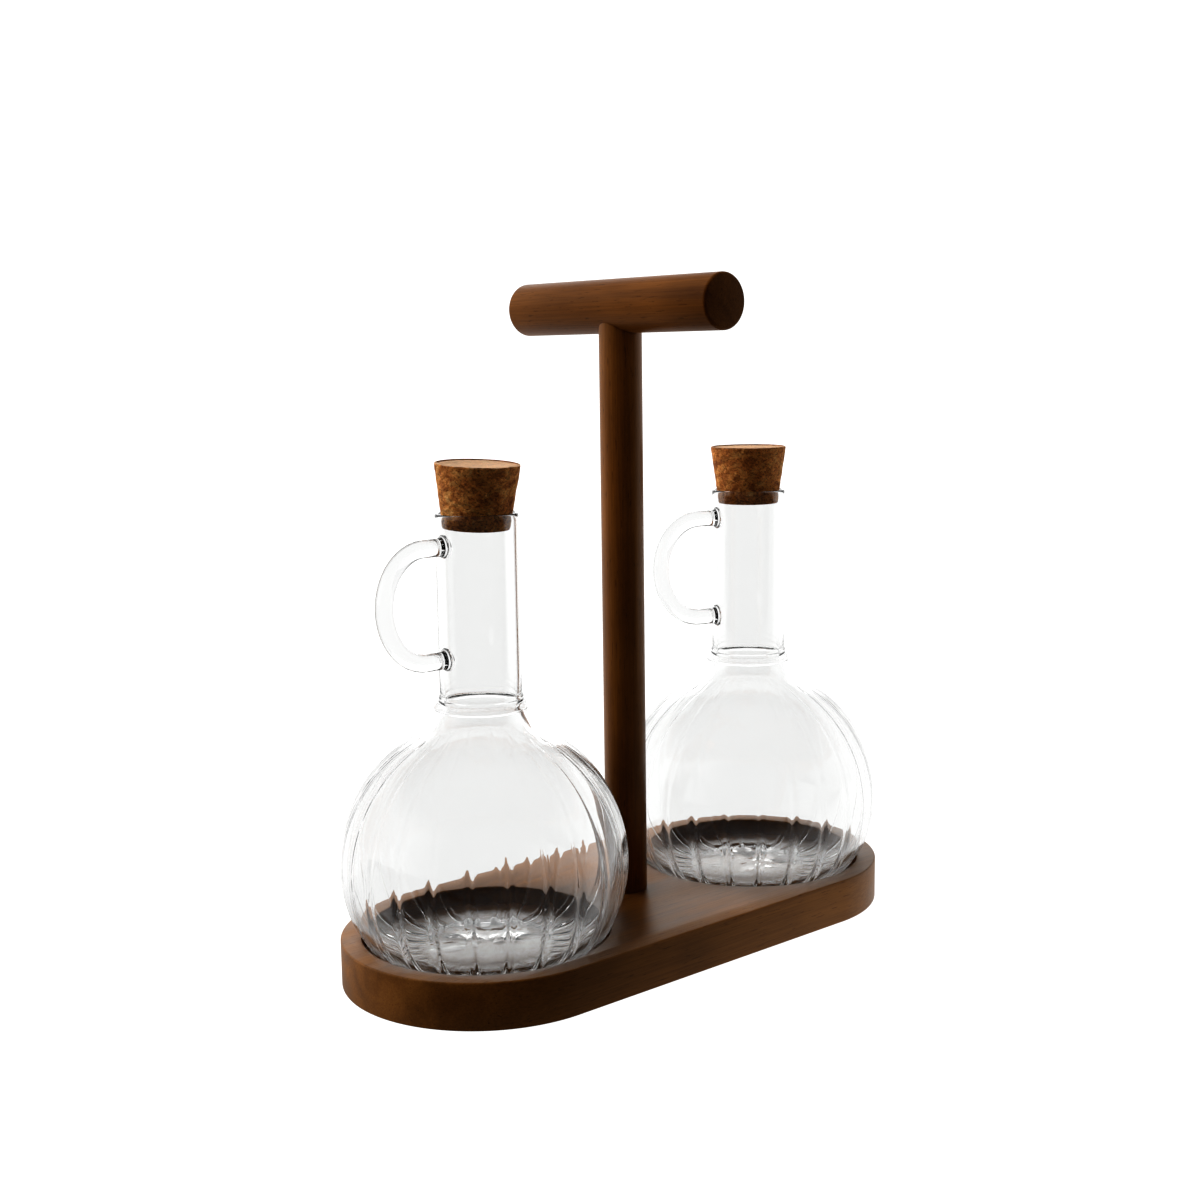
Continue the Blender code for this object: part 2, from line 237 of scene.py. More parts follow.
def object_pattern(tree, scale):
    place = node(tree, "ShaderNodeTexCoord")
    fitted = node(tree, "ShaderNodeMapping")
    fitted.inputs["Scale"].default_value = scale
    tree.links.new(place.outputs["Object"], fitted.inputs["Vector"])
    return fitted.outputs["Vector"]


def ramp(tree, source, stops):
    made = tree.nodes.new("ShaderNodeValToRGB")
    tree.links.new(source, made.inputs["Fac"])
    elements = made.color_ramp.elements
    while len(elements) < len(stops):
        elements.new(0.5)
    for element, (position, colour) in zip(elements, stops):
        element.position = position
        element.color = (*colour, 1)
    return made.outputs["Color"]


def mix(tree, factor, first, second, blend="MIX"):
    made = tree.nodes.new("ShaderNodeMix")
    made.data_type = "RGBA"
    made.blend_type = blend
    for name, kind, value in (("Factor", "VALUE", factor), ("A", "RGBA", first), ("B", "RGBA", second)):
        socket = next(s for s in made.inputs if s.name == name and s.type == kind)
        if hasattr(value, "links"):
            tree.links.new(value, socket)
        else:
            socket.default_value = (*value, 1) if kind == "RGBA" else value
    return next(s for s in made.outputs if s.type == "RGBA")


def noise(tree, vector, scale, detail, roughness, distortion=0.0):
    made = node(tree, "ShaderNodeTexNoise", Scale=scale, Detail=detail, Roughness=roughness)
    made.inputs["Distortion"].default_value = distortion
    tree.links.new(vector, made.inputs["Vector"])
    return made.outputs["Fac"]


def bump(tree, shader, heights):
    """Stacks bumps, each (height socket, distance in metres, strength), onto the shader's normal."""
    last = None
    for height, distance, strength in heights:
        made = node(tree, "ShaderNodeBump", Distance=distance, Strength=strength)
        tree.links.new(height, made.inputs["Height"])
        if last:
            tree.links.new(last, made.inputs["Normal"])
        last = made.outputs["Normal"]
    tree.links.new(last, shader.inputs["Normal"])


def along_grain(tree, along, scale, stretch):
    """A pattern of the given scale across the grain, drawn out along it."""
    return object_pattern(tree, [scale * stretch if axis == along else scale for axis in "XYZ"])


def stained_walnut(name, along, light, dark, sheen):
    """Dark stained wood with its grain along one axis: soft bands, short dark pores and fine fibre."""
    made, tree, shader = nodes_of(name)
    bands = noise(tree, along_grain(tree, along, 60, 0.06), 1.0, 3.0, 0.5, 0.6)
    pores = noise(tree, along_grain(tree, along, 1500, 0.10), 1.0, 2.0, 0.6)
    fibre = noise(tree, along_grain(tree, along, 1500, 0.02), 1.0, 3.0, 0.7)
    cloudy = noise(tree, object_pattern(tree, (22, 22, 22)), 1.0, 2.0, 0.5)
    middle = tuple((a + b) / 2 for a, b in zip(light, dark))
    colour = ramp(tree, bands, [(0.30, dark), (0.48, middle), (0.70, light)])
    shade = ramp(tree, cloudy, [(0.35, (0.80, 0.78, 0.76)), (0.65, (1.12, 1.12, 1.12))])
    colour = mix(tree, 1.0, colour, shade, "MULTIPLY")
    lines = ramp(tree, fibre, [(0.40, (0.82, 0.80, 0.78)), (0.62, (1.08, 1.08, 1.08))])
    colour = mix(tree, 0.8, colour, lines, "MULTIPLY")
    holes = ramp(tree, pores, [(0.30, (0.55, 0.52, 0.50)), (0.38, (1, 1, 1))])
    colour = mix(tree, 0.85, colour, holes, "MULTIPLY")
    tree.links.new(colour, shader.inputs["Base Color"])
    gloss = node(tree, "ShaderNodeMapRange")
    gloss.inputs["From Min"].default_value = 0.3
    gloss.inputs["From Max"].default_value = 0.7
    gloss.inputs["To Min"].default_value = 0.34
    gloss.inputs["To Max"].default_value = 0.46
    tree.links.new(bands, gloss.inputs["Value"])
    tree.links.new(gloss.outputs["Result"], shader.inputs["Roughness"])
    bump(tree, shader, [(fibre, 0.00004, 0.5), (pores, 0.00008, 0.6)])
    shader.inputs["Specular IOR Level"].default_value = sheen
    shader.inputs["Specular Tint"].default_value = (1.0, 0.82, 0.62, 1)
    return made


def blown_glass():
    made, tree, shader = nodes_of("clear_blown_glass")
    shader.inputs["Base Color"].default_value = (0.970, 0.973, 0.971, 1)
    shader.inputs["Roughness"].default_value = 0.0
    shader.inputs["IOR"].default_value = 1.48
    shader.inputs["Transmission Weight"].default_value = 1.0
    ripple = noise(tree, object_pattern(tree, (45, 45, 22)), 1.0, 2.0, 0.4)
    bump(tree, shader, [(ripple, 0.0004, 0.35)])
    return made


def pressed_cork():
    """Cork granules pressed together: mottled orange browns, fine dark cracks and paler crumbs."""
    made, tree, shader = nodes_of("pressed_cork_granules")
    place = object_pattern(tree, (1, 1, 1.5))
    patches = noise(tree, place, 210.0, 5.0, 0.65, 0.8)
    fine = noise(tree, place, 1000.0, 5.0, 0.75, 0.4)
    wander = node(tree, "ShaderNodeTexNoise", Scale=420.0, Detail=4.0, Roughness=0.7)
    tree.links.new(place, wander.inputs["Vector"])
    shove = node(tree, "ShaderNodeVectorMath", operation="SCALE", Scale=0.0035)
    tree.links.new(wander.outputs["Color"], shove.inputs["Vector"])
    moved = node(tree, "ShaderNodeVectorMath", operation="ADD")
    tree.links.new(place, moved.inputs[0])
    tree.links.new(shove.outputs["Vector"], moved.inputs[1])
    gaps = node(tree, "ShaderNodeTexVoronoi", feature="DISTANCE_TO_EDGE", Scale=300.0, Randomness=1.0)
    tree.links.new(moved.outputs["Vector"], gaps.inputs["Vector"])
    grains = node(tree, "ShaderNodeTexVoronoi", Scale=300.0, Randomness=1.0)
    tree.links.new(moved.outputs["Vector"], grains.inputs["Vector"])
    tone = node(tree, "ShaderNodeSeparateColor")
    tree.links.new(grains.outputs["Color"], tone.inputs["Color"])
    browns = [
        (0.30, (0.38, 0.13, 0.030)),
        (0.47, (0.66, 0.27, 0.075)),
        (0.58, (0.78, 0.38, 0.120)),
        (0.75, (0.88, 0.55, 0.240)),
    ]
    colour = ramp(tree, patches, browns)
    shades = [(0.0, (0.55, 0.48, 0.42)), (0.35, (0.95, 0.93, 0.9)), (1.0, (1.15, 1.15, 1.15))]
    each = ramp(tree, tone.outputs["Red"], shades)
    colour = mix(tree, 0.8, colour, each, "MULTIPLY")
    spots = [(0.36, (0.38, 0.27, 0.20)), (0.50, (0.95, 0.93, 0.9)), (0.68, (1.3, 1.3, 1.3))]
    specks = ramp(tree, fine, spots)
    colour = mix(tree, 0.85, colour, specks, "MULTIPLY")
    cracked = noise(tree, place, 330.0, 2.0, 0.5)
    crack = node(tree, "ShaderNodeMath", operation="MULTIPLY")
    tree.links.new(gaps.outputs["Distance"], crack.inputs[0])
    tree.links.new(ramp(tree, cracked, [(0.40, (1, 1, 1)), (0.60, (6, 6, 6))]), crack.inputs[1])
    edges = ramp(tree, crack.outputs["Value"], [(0.0, (0.30, 0.22, 0.17)), (0.07, (1, 1, 1))])
    colour = mix(tree, 0.8, colour, edges, "MULTIPLY")
    # faces that point up are mixed towards a pale tan, so the top is paler than the sides
    upright = node(tree, "ShaderNodeSeparateXYZ")
    tree.links.new(node(tree, "ShaderNodeTexCoord").outputs["Normal"], upright.inputs["Vector"])
    ends = ramp(tree, upright.outputs["Z"], [(0.70, (0, 0, 0)), (0.95, (1, 1, 1))])
    paler_top = mix(tree, 0.55, colour, (0.74, 0.58, 0.42))
    colour = mix(tree, ends, colour, paler_top)
    tree.links.new(colour, shader.inputs["Base Color"])
    shader.inputs["Roughness"].default_value = 0.85
    shader.inputs["Specular IOR Level"].default_value = 0.3
    bump(tree, shader, [(crack.outputs["Value"], 0.0004, 0.5), (fine, 0.0004, 0.7)])
    return made


def bare_beech():
    made, tree, shader = nodes_of("bare_beech")
    grain = noise(tree, object_pattern(tree, (900, 900, 40)), 1.0, 3.0, 0.6)
    colour = ramp(tree, grain, [(0.35, (0.42, 0.26, 0.14)), (0.65, (0.62, 0.43, 0.26))])
    tree.links.new(colour, shader.inputs["Base Color"])
    shader.inputs["Roughness"].default_value = 0.6
    bump(tree, shader, [(grain, 0.00005, 0.5)])
    return made


def zinc_plate():
    made, tree, shader = nodes_of("zinc_plated_steel")
    spangle = noise(tree, object_pattern(tree, (1, 1, 1)), 1200.0, 3.0, 0.6)
    colour = ramp(tree, spangle, [(0.3, (0.50, 0.50, 0.47)), (0.7, (0.70, 0.70, 0.68))])
    tree.links.new(colour, shader.inputs["Base Color"])
    shader.inputs["Metallic"].default_value = 1.0
    shader.inputs["Roughness"].default_value = 0.34
    bump(tree, shader, [(spangle, 0.00003, 0.4)])
    return made


# ---------- caddy ----------


def base_board(finish):
    """A disc pulled apart into two round ends, with a pocket let into each and a countersink underneath."""
    bpy.ops.mesh.primitive_cylinder_add(
        vertices=256,
        radius=BASE_HALF_WIDTH,
        depth=BASE_TOP,
        location=(0, 0, BASE_TOP / 2),
        rotation=(0, 0, math.pi / 256),
    )
    board = bpy.context.object
    only(board)
    bpy.ops.object.transform_apply(location=True, rotation=True, scale=True)
    for side in (1, -1):
        edit(board)
        pick(board, lambda v: v.co.x * side > 0)
        bpy.ops.transform.translate(value=(side * BOTTLE_X, 0, 0))
    deselect()
    cutter = 0.02  # taller than the pocket is deep, so the cut clears the top
    for side in (1, -1):
        bpy.ops.mesh.primitive_cylinder_add(
            vertices=192,
            radius=POCKET_RADIUS,
            depth=cutter,
            location=(side * BOTTLE_X, 0, BASE_TOP - POCKET_DEPTH + cutter / 2),
        )
        boolean(board, bpy.context.object, "DIFFERENCE")
    bpy.ops.mesh.primitive_cone_add(
        vertices=64,
        radius1=SINK_MOUTH_RADIUS,
        radius2=SINK_BORE_RADIUS,
        depth=SINK_TAPER,
        location=(0, 0, SINK_FLOOR + SINK_TAPER / 2),
    )
    sink = bpy.context.object
    edit(sink, "FACE")
    pick(sink, lambda f: f.normal.z < -0.9, "faces")
    bpy.ops.mesh.extrude_region_move(TRANSFORM_OT_translate={"value": (0, 0, -0.004)})
    bpy.ops.mesh.select_all(action="DESELECT")
    pick(sink, lambda f: f.normal.z > 0.9, "faces")
    bpy.ops.mesh.extrude_region_move(TRANSFORM_OT_translate={"value": (0, 0, 0.02)})
    deselect()
    boolean(board, sink, "DIFFERENCE")
    bevel(board, BASE_EDGE, 4)
    board.data.materials.append(finish)
    done(board, "base_board")
    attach(board, "caddy")
    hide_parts("caddy_base")


def round_post(finish):
    """A round post whose top is coped to the bar's underside."""
    foot = BASE_TOP - POST_SINK
    head = BAR_AXIS
    bpy.ops.mesh.primitive_cylinder_add(
        vertices=128, radius=POST_RADIUS, depth=head - foot, location=(0, 0, (head + foot) / 2)
    )
    post = bpy.context.object
    edit(post, "EDGE")
    pick(post, lambda e: all(v.co.z < 0 for v in e.verts), "edges")
    bpy.ops.mesh.bevel(offset=POST_EDGE, segments=3, affect="EDGES")
    deselect()
    bpy.ops.mesh.primitive_cylinder_add(
        vertices=128,
        radius=BAR_RADIUS + SEAM,
        depth=5 * POST_RADIUS,
        location=(0, 0, BAR_AXIS),
        rotation=(math.pi / 2, 0, 0),
    )
    boolean(post, bpy.context.object, "DIFFERENCE")
    post.data.materials.append(finish)
    done(post, "round_post")
    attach(post, "caddy")
    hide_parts("caddy_post")


def handle_bar(finish):
    """A round bar with eased ends."""
    length = bar_high.y - bar_low.y
    bpy.ops.mesh.primitive_cylinder_add(
        vertices=128,
        radius=BAR_RADIUS,
        depth=length,
        location=(0, 0, BAR_AXIS),
        rotation=(math.pi / 2, 0, 0),
    )
    bar = bpy.context.object
    bevel(bar, BAR_EDGE, 5)
    bar.data.materials.append(finish)
    done(bar, "handle_bar")
    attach(bar, "caddy")
    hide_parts("caddy_bar")


# ---------- bottles ----------


def arc(centre, radius, start, end, count):
    angles = [start + (end - start) * i / (count - 1) for i in range(count)]
    return [(centre[0] + radius * math.cos(a), centre[1] + radius * math.sin(a)) for a in angles]


def globe_side(radius, heel, fillet, centre, foot, neck, counts):
    """Profile of a globe, as (radius, height): flat foot, heel, globe, and a shoulder arc up to the neck.

    The heel's circle touches the foot and the globe from inside. The shoulder's circle touches the globe from
    outside and passes through the neck's foot, which gives a quadratic for its centre.
    """
    rise = centre - foot
    heel_centre = (math.sqrt((radius - heel) ** 2 - (rise - heel) ** 2), heel)
    low = math.atan2(heel - rise, heel_centre[0])
    nx, nz = neck[0], neck[1] - centre
    far = radius + fillet
    square = nx**2 + nz**2
    along = (far**2 - fillet**2 + square) / 2
    half = nx * along
    sx = (half + math.sqrt(half**2 - square * (along**2 - (nz * far) ** 2))) / square
    sz = (along - nx * sx) / nz
    high = math.atan2(sz, sx)
    end = math.atan2(nz - sz, nx - sx)
    if end > 0:
        end -= 2 * math.pi
    points = [(r, z + foot) for r, z in arc(heel_centre, heel, -math.pi / 2, low, counts[0])]
    points += arc((0, centre), radius, low, high, counts[1])[1:]
    points += arc((sx, sz + centre), fillet, high - math.pi, end, counts[2])[1:]
    return points


def bottle_profile():
    """The wall's section: from the floor's middle up the inside, over the lip and down to the underside."""
    bore = NECK_RADIUS - NECK_WALL
    inner = globe_side(
        BODY_RADIUS - BODY_WALL - RIB_HEIGHT,
        HEEL_RADIUS - BODY_WALL,
        SHOULDER_FILLET + BODY_WALL,
        BODY_CENTRE,
        FLOOR_THICKNESS,
        (bore, COLLAR_FOOT - BORE_STEP),
        (12, 38, 10),
    )
    outer = globe_side(
        BODY_RADIUS - RIB_HEIGHT,
        HEEL_RADIUS,
        SHOULDER_FILLET,
        BODY_CENTRE,
        0,
        (NECK_RADIUS + COLLAR_FOOT_STEP, COLLAR_FOOT),
        (14, 46, 12),
    )
    floor = inner[0][0]
    inside = [
        (floor * i / 10, FLOOR_THICKNESS + FLOOR_CROWN * math.cos(math.pi * i / 20) ** 2) for i in range(10)
    ]
    rim = RIM - 0.5 * NECK_WALL
    lip = arc((NECK_RADIUS - 0.5 * NECK_WALL, rim), 0.5 * NECK_WALL, math.pi, 0, 9)
    low, high = COLLAR_FOOT + COLLAR_HEIGHT + NECK_PLAIN_FROM, RIM - NECK_PLAIN_TO
    welds = HANDLE_MIDDLE - HANDLE_HALF_HEIGHT, HANDLE_MIDDLE + HANDLE_HALF_HEIGHT
    levels = [low + (high - low) * i / 10 for i in range(11)]
    bore_wall = [(bore, z) for z in levels]
    levels += [weld + WELD_SPACING * i for weld in welds for i in range(-WELD_RINGS, WELD_RINGS + 1)]
    neck_wall = [(NECK_RADIUS, z) for z in sorted(levels, reverse=True)]
    band_low, band_high = NECK_RADIUS + COLLAR_FOOT_STEP, NECK_RADIUS + COLLAR_STEP
    top = COLLAR_FOOT + COLLAR_HEIGHT
    collar = [
        (NECK_RADIUS + 0.00006, top + 0.0006),
        (NECK_RADIUS + 0.0002, top + 0.0003),
        (band_high - 0.0002, top),
        (band_high, top - 0.0003),
        (band_high, top - 0.0007),
        (band_high - 0.0001, top - 0.0013),
        (0.5 * (band_high + band_low) - 0.0002, 0.5 * (top + COLLAR_FOOT)),
        (band_low - 0.0001, COLLAR_FOOT + 0.0014),
        (band_low + 0.0003, COLLAR_FOOT + 0.0011),
        (band_low + 0.0004, COLLAR_FOOT + 0.0008),
        (band_low + 0.0003, COLLAR_FOOT + 0.0005),
        (band_low, COLLAR_FOOT + 0.0002),
    ]
    foot = outer[0][0]
    under = [(PUNT_SHARE * foot, 0)]
    for share in (0.9, 0.8, 0.65, 0.5, 0.3, 0.15, 0):
        under.append((share * foot, PUNT_RISE * (1 - (share / PUNT_SHARE) ** 2) ** 0.8))
    return inside + inner + bore_wall + lip + neck_wall + collar + outer[::-1] + under


def turned_on_axis(points, x, z, steps):
    """Draws the profile as a chain of vertices and turns it about an upright axis."""
    bpy.ops.mesh.primitive_plane_add(size=0.001, location=(x, 0, z))
    made = bpy.context.object
    edit(made)
    bpy.ops.mesh.select_all(action="SELECT")
    bpy.ops.mesh.merge(type="CENTER")
    bpy.ops.transform.translate(value=(points[0][0], 0, points[0][1]))
    for (r0, z0), (r1, z1) in zip(points, points[1:]):
        bpy.ops.mesh.extrude_vertices_move(TRANSFORM_OT_translate={"value": (r1 - r0, 0, z1 - z0)})
    deselect()
    lathe = made.modifiers.new("turned", "SCREW")
    lathe.steps = lathe.render_steps = steps
    lathe.use_merge_vertices = True
    lathe.merge_threshold = 0.000004
    apply(made, lathe)
    only(made)
    bpy.ops.object.transform_apply(location=True, rotation=True, scale=True)
    edit(made)
    bpy.ops.mesh.select_all(action="SELECT")
    bpy.ops.mesh.normals_make_consistent(inside=False)
    deselect()
    return made


def raise_ribs(bottle, x, phase):
    """Ribs run down the globe like meridians, proud of the wall inside and out, and fade at the shoulder."""
    group = bottle.vertex_groups.new(name="ribs")
    pitch = 2 * math.pi / RIBS
    for vertex in bottle.data.vertices:
        dx, dy, z = vertex.co.x - x, vertex.co.y, vertex.co.z - FOOT
        radius = math.hypot(dx, dy)
        if radius < 0.45 * BODY_RADIUS and z < BODY_CENTRE or z > RIB_TOP:
            continue
        pitches = (math.atan2(dy, dx) - phase) / pitch
        across = (pitches - round(pitches)) * pitch * radius
        width = RIB_WIDTH * (0.35 + 0.65 * radius / BODY_RADIUS)
        top = min(1, (RIB_TOP - z) / (0.22 * BODY_RADIUS))
        heel = min(1, max(0, (radius / BODY_RADIUS - 0.45) / 0.12)) if z < BODY_CENTRE else 1
        low = min(1, max(0, 1 - z / BODY_CENTRE))
        weight = math.exp(-((across / width) ** 2)) * top * heel * (0.38 + 0.62 * low)
        if weight > 0.001:
            group.add([vertex.index], weight, "REPLACE")
    ribs = bottle.modifiers.new("ribs", "DISPLACE")
    ribs.direction = "NORMAL"
    ribs.mid_level = 0
    ribs.strength = RIB_HEIGHT
    ribs.vertex_group = "ribs"
    apply(bottle, ribs)


def ripple_floor(bottle, x):
    """The thick floor is wavy inside, as blown glass is where it was cut off and pressed flat."""
    group = bottle.vertex_groups.new(name="floor")
    for vertex in bottle.data.vertices:
        radius = math.hypot(vertex.co.x - x, vertex.co.y)
        z = vertex.co.z - FOOT
        if radius < 0.40 * BODY_RADIUS and 0.0013 < z < FLOOR_THICKNESS + 0.002:
            group.add([vertex.index], min(1, (0.40 - radius / BODY_RADIUS) / 0.15), "REPLACE")
    pattern = bpy.data.textures.new("floor_ripple", "CLOUDS")
    pattern.noise_scale = FLOOR_RIPPLE_SIZE
    ripple = bottle.modifiers.new("floor_ripple", "DISPLACE")
    ripple.texture = pattern
    ripple.texture_coords = "LOCAL"
    ripple.direction = "Z"
    ripple.mid_level = 0.5
    ripple.strength = FLOOR_RIPPLE
    ripple.vertex_group = "floor"
    apply(bottle, ripple)


def bent_rod(x, facing):
    """Glass rod: one arm out, round a half oval, and back, with a swollen foot where each end is fused on."""
    start = NECK_RADIUS - 0.6 * NECK_WALL
    bend = NECK_RADIUS + HANDLE_ARM
    middle = FOOT + HANDLE_MIDDLE
    bpy.ops.mesh.primitive_circle_add(
        vertices=ROD_SIDES,
        radius=ROD_RADIUS,
        fill_type="NGON",
        location=(x + start, 0, middle + HANDLE_HALF_HEIGHT),
        rotation=(0, math.pi / 2, 0),
    )
    rod = bpy.context.object
    only(rod)
    bpy.ops.object.transform_apply(location=True, rotation=True, scale=True)
    edit(rod, "FACE")
    bpy.ops.mesh.select_all(action="SELECT")
    straight = bend - start - ROD_SWELL[-1][0]
    bpy.ops.transform.resize(value=(1, ROD_SWELL[0][1], ROD_SWELL[0][1]))
    for (near, size), (far, next_size) in zip(ROD_SWELL, ROD_SWELL[1:]):
        grow_rod((far - near, 0, 0), next_size / size)
    grow_rod((straight, 0, 0))
    here = Vector((bend, HANDLE_HALF_HEIGHT))
    heading = 0.0
    for i in range(1, ROD_BENDS + 1):
        angle = math.pi * i / ROD_BENDS
        there = Vector((bend + HANDLE_BOW * math.sin(angle), HANDLE_HALF_HEIGHT * math.cos(angle)))
        grow_rod((there.x - here.x, 0, there.y - here.y))
        next_heading = math.atan2(HANDLE_HALF_HEIGHT * math.sin(angle), HANDLE_BOW * math.cos(angle))
        turn("Y", next_heading - heading, (x + there.x, 0, middle + there.y))
        here, heading = there, next_heading
    grow_rod((-straight, 0, 0))
    for (far, size), (near, next_size) in zip(ROD_SWELL[::-1], ROD_SWELL[-2::-1]):
        grow_rod((near - far, 0, 0), next_size / size)
    bpy.ops.mesh.select_all(action="SELECT")
    turn("Z", facing, (x, 0, 0))
    bpy.ops.mesh.normals_make_consistent(inside=False)
    deselect()
    return rod


def grow_rod(step, size=1.0):
    """Carries the rod's end on by a step and swells or thins it."""
    bpy.ops.mesh.extrude_region_move(TRANSFORM_OT_translate={"value": step})
    if size != 1.0:
        bpy.ops.transform.resize(value=(1, size, size))


def glass_bottle(side, x, glass):
    """A hollow ribbed globe and neck turned from one profile, with a bent rod fused on at both ends."""
    bottle = turned_on_axis(bottle_profile(), x, FOOT, COLUMNS)
    raise_ribs(bottle, x, RIB_TURNS[side])
    ripple_floor(bottle, x)
    boolean(bottle, bent_rod(x, BOTTLE_TURNS[side]), "UNION")
    bottle.data.materials.append(glass)
    done(bottle, f"glass_bottle_{side}", 40)
    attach(bottle, f"{side}_bottle")
    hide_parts(f"bottle_{side}")


# ---------- corks ----------


def cork_stopper(side, x, finish, tilt=0.0):
    """A tapered plug of pressed cork, torn into small pits by its cutting."""
    foot = cork_low.z
    bpy.ops.mesh.primitive_cone_add(
        vertices=180,
        radius1=CORK_FOOT_RADIUS,
        radius2=CORK_TOP_RADIUS,
        depth=CORK_LENGTH,
        location=(x, 0, foot + CORK_LENGTH / 2),
    )
    plug = bpy.context.object
    only(plug)
    bpy.ops.object.transform_apply(location=True, rotation=True, scale=True)
    bevel(plug, CORK_EDGE, 3)
    edit(plug, "FACE")
    pick(plug, lambda f: abs(f.normal.z) > 0.9, "faces")
    for _ in range(CORK_RINGS):
        bpy.ops.mesh.inset(thickness=CORK_FOOT_RADIUS / (CORK_RINGS + 1), use_individual=False)
    bpy.ops.mesh.select_all(action="DESELECT")
    bpy.ops.mesh.select_mode(type="EDGE")
    tall = 0.5 * CORK_LENGTH
    pick(plug, lambda e: abs(e.verts[0].co.z - e.verts[1].co.z) > tall, "edges")
    bpy.ops.mesh.subdivide_edgering(number_cuts=CORK_BANDS, interpolation="LINEAR")
    deselect()
    pitted(plug, "crumbs", "VORONOI", CRUMB_SIZE, CRUMB_DEPTH)
    pitted(plug, "grit", "CLOUDS", GRIT_SIZE, GRIT_DEPTH)
    if tilt:
        edit(plug)
        bpy.ops.mesh.select_all(action="SELECT")
        pivot = (x, 0, FOOT + RIM)  # it rocks in the mouth of the neck
        turn("Z", -LEFT_CORK_LEAN, pivot)
        turn("Y", tilt, pivot)
        turn("Z", LEFT_CORK_LEAN, pivot)
        deselect()
    plug.data.materials.append(finish)
    done(plug, f"cork_stopper_{side}", 50)
    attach(plug, f"{side}_stopper")
    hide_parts(f"cork_{side}")


def pitted(obj, name, kind, size, depth):
    """Sinks the surface by up to a depth, by a rough pattern of the given size."""
    pattern = bpy.data.textures.new(name, kind)
    pattern.noise_scale = size
    change = obj.modifiers.new(name, "DISPLACE")
    change.texture = pattern
    change.texture_coords = "LOCAL"
    change.mid_level = 1.0
    change.strength = depth
    apply(obj, change)


# ---------- room ----------


def grey(value):
    return (value, value, value)


def toward(tree, vector, direction):
    """How far a vector points along a direction."""
    made = node(tree, "ShaderNodeVectorMath", operation="DOT_PRODUCT")
    tree.links.new(vector, made.inputs[0])
    made.inputs[1].default_value = direction
    return made.outputs["Value"]


def straight_through(tree):
    """1 for light that has only been let through since it left the eye, 0 once anything has reflected it."""
    path = node(tree, "ShaderNodeLightPath")
    turned_back = node(tree, "ShaderNodeMath", operation="SUBTRACT")
    tree.links.new(path.outputs["Ray Depth"], turned_back.inputs[0])
    tree.links.new(path.outputs["Transmission Depth"], turned_back.inputs[1])
    clear = node(tree, "ShaderNodeMath", operation="LESS_THAN")
    tree.links.new(turned_back.outputs["Value"], clear.inputs[0])
    clear.inputs[1].default_value = 0.5
    return clear.outputs["Value"]


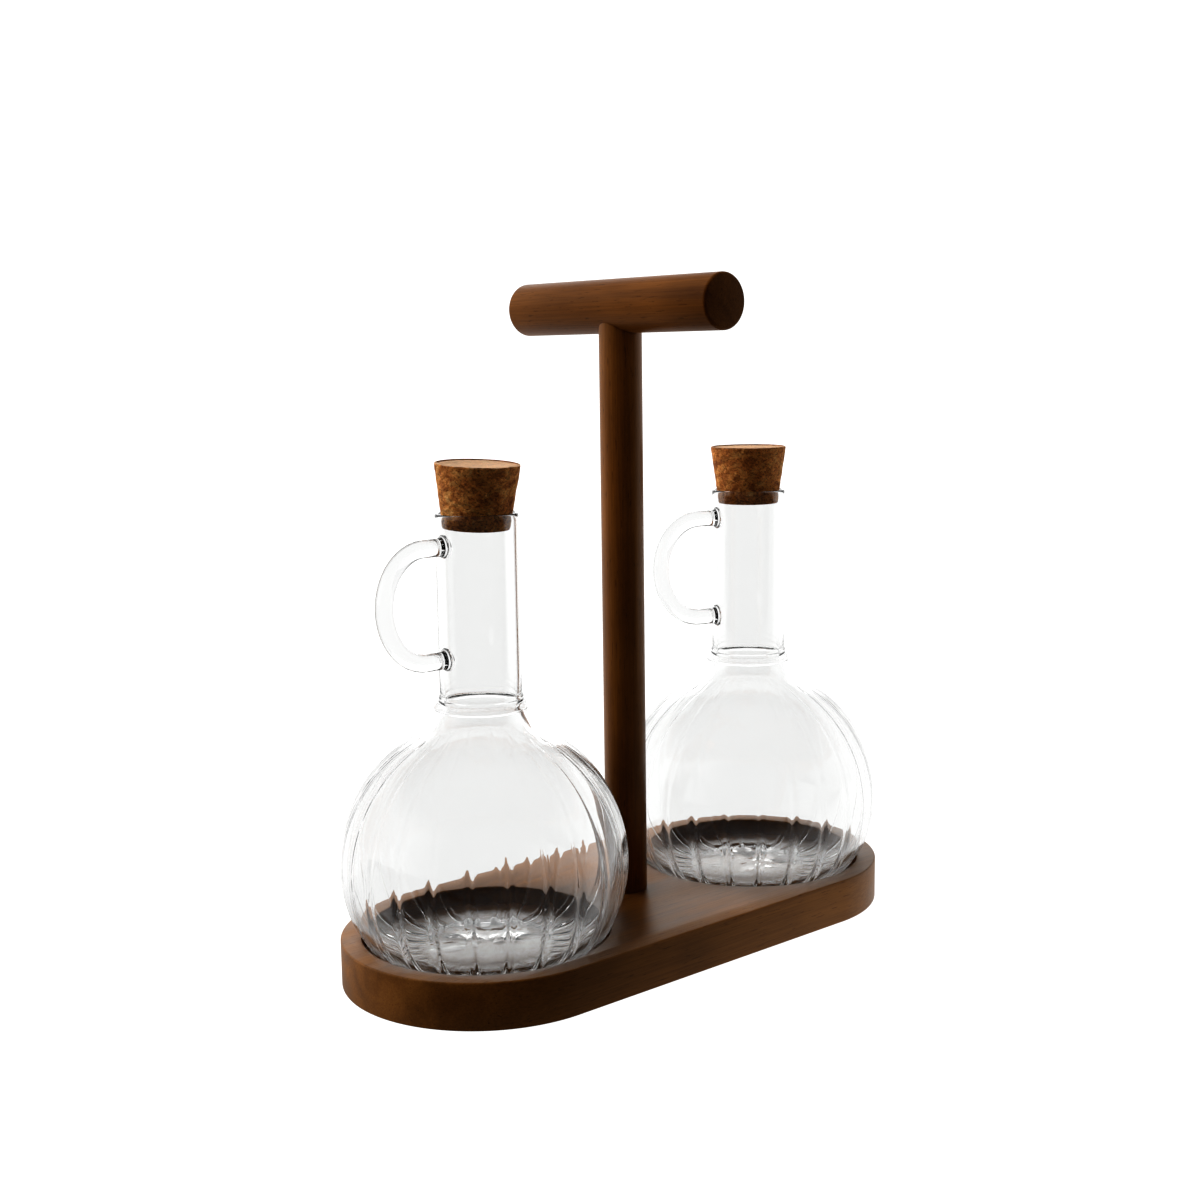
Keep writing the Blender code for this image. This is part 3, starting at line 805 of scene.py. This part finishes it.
def room():
    """A wide pale floor under a white sky, both dark on the camera's side, which draws the glass's edges."""
    bpy.ops.mesh.primitive_plane_add(size=30, location=(0, 0, 0))
    floor = bpy.context.object
    floor.name = "pale_floor"
    made, tree, shader = nodes_of("pale_floor")
    shader.inputs["Roughness"].default_value = 0.9
    shader.inputs["Specular IOR Level"].default_value = 0.1
    shader.inputs["Emission Strength"].default_value = 1.0
    place = node(tree, "ShaderNodeTexCoord")
    depth = toward(tree, place.outputs["Object"], FLOOR_AWAY)
    spread = node(tree, "ShaderNodeMapRange")
    spread.inputs["From Min"].default_value = -0.12
    spread.inputs["From Max"].default_value = 0.04
    tree.links.new(depth, spread.inputs["Value"])
    glow = ramp(tree, spread.outputs["Result"], [(0.0, grey(0.02)), (1.0, grey(0.72))])
    glow = mix(tree, straight_through(tree), glow, grey(0.70))
    seen = node(tree, "ShaderNodeLightPath").outputs["Is Camera Ray"]
    tree.links.new(mix(tree, seen, glow, grey(0.74)), shader.inputs["Emission Color"])
    tree.links.new(mix(tree, seen, grey(0.04), grey(0.22)), shader.inputs["Base Color"])
    floor.data.materials.append(made)

    world = bpy.data.worlds.new("white_room")
    bpy.context.scene.world = world
    world.use_nodes = True
    tree = world.node_tree
    sky = tree.nodes["Background"]
    place = node(tree, "ShaderNodeTexCoord")
    direction = place.outputs["Generated"]
    facing = toward(tree, direction, DARK_SIDE)
    wall = ramp(tree, facing, [(0.0, grey(0.72)), (0.34, grey(0.40)), (0.62, grey(0.05))])
    height = node(tree, "ShaderNodeSeparateXYZ")
    tree.links.new(direction, height.inputs["Vector"])
    fade = ramp(tree, height.outputs["Z"], [(0.45, grey(1)), (0.68, grey(0.25))])
    wall = mix(tree, 1.0, wall, fade, "MULTIPLY")
    overhead = ramp(tree, toward(tree, direction, SOFT_BOX), [(0.70, grey(0)), (0.90, (2.2, 2.1, 1.95))])
    matt = node(tree, "ShaderNodeLightPath").outputs["Is Diffuse Ray"]  # kept out of gloss and glass
    shade = mix(tree, 1.0, wall, mix(tree, matt, grey(0), overhead), "ADD")
    panel = ramp(tree, toward(tree, direction, LOW_PANEL), [(0.90, grey(0)), (0.96, grey(0.8))])
    shade = mix(tree, 1.0, shade, panel, "ADD")
    shade = mix(tree, straight_through(tree), shade, grey(0.72))
    seen = node(tree, "ShaderNodeLightPath").outputs["Is Camera Ray"]
    tree.links.new(mix(tree, seen, shade, grey(0.9)), sky.inputs["Color"])
    sky.inputs["Strength"].default_value = 1.0


def camera():
    """A lens at eye level, a little above the corks, with its frame shifted and rolled slightly."""
    lens = bpy.data.cameras.new("studio_camera")
    eye = bpy.data.objects.new("studio_camera", lens)
    bpy.context.scene.collection.objects.link(eye)
    lens.lens = LENS
    lens.sensor_width = 36
    lens.shift_x, lens.shift_y = SHIFT
    lens.clip_start, lens.clip_end = 0.01, 100
    eye.location = EYE
    aim = (Vector(AIM) - Vector(EYE)).to_track_quat("-Z", "Y").to_matrix().to_4x4()
    eye.rotation_euler = (aim @ Matrix.Rotation(ROLL, 4, "Z")).to_euler()
    bpy.context.scene.camera = eye


room()
camera()
bpy.context.scene.view_settings.view_transform = "Standard"
bpy.context.scene.view_settings.look = "High Contrast"
paths = bpy.context.scene.cycles  # light crosses many glass faces before it leaves a ribbed bottle
paths.max_bounces, paths.transmission_bounces, paths.glossy_bounces = 40, 32, 24

base_board(stained_walnut("stained_walnut_board", "X", (0.320, 0.138, 0.034), (0.160, 0.064, 0.013), 0.38))
round_post(stained_walnut("stained_walnut_post", "Z", (0.350, 0.140, 0.027), (0.200, 0.074, 0.011), 0.35))
handle_bar(stained_walnut("stained_walnut_bar", "Y", (0.270, 0.108, 0.023), (0.145, 0.052, 0.010), 0.10))
glass = blown_glass()
glass_bottle("left", -BOTTLE_X, glass)
glass_bottle("right", BOTTLE_X, glass)
cork = pressed_cork()
cork_stopper("left", -BOTTLE_X, cork, LEFT_CORK_TILT)
cork_stopper("right", BOTTLE_X, cork)
for name, finish in (("bar_dowel", bare_beech()), ("post_screw", zinc_plate())):
    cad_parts[name].data.materials.clear()
    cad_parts[name].data.materials.append(finish)
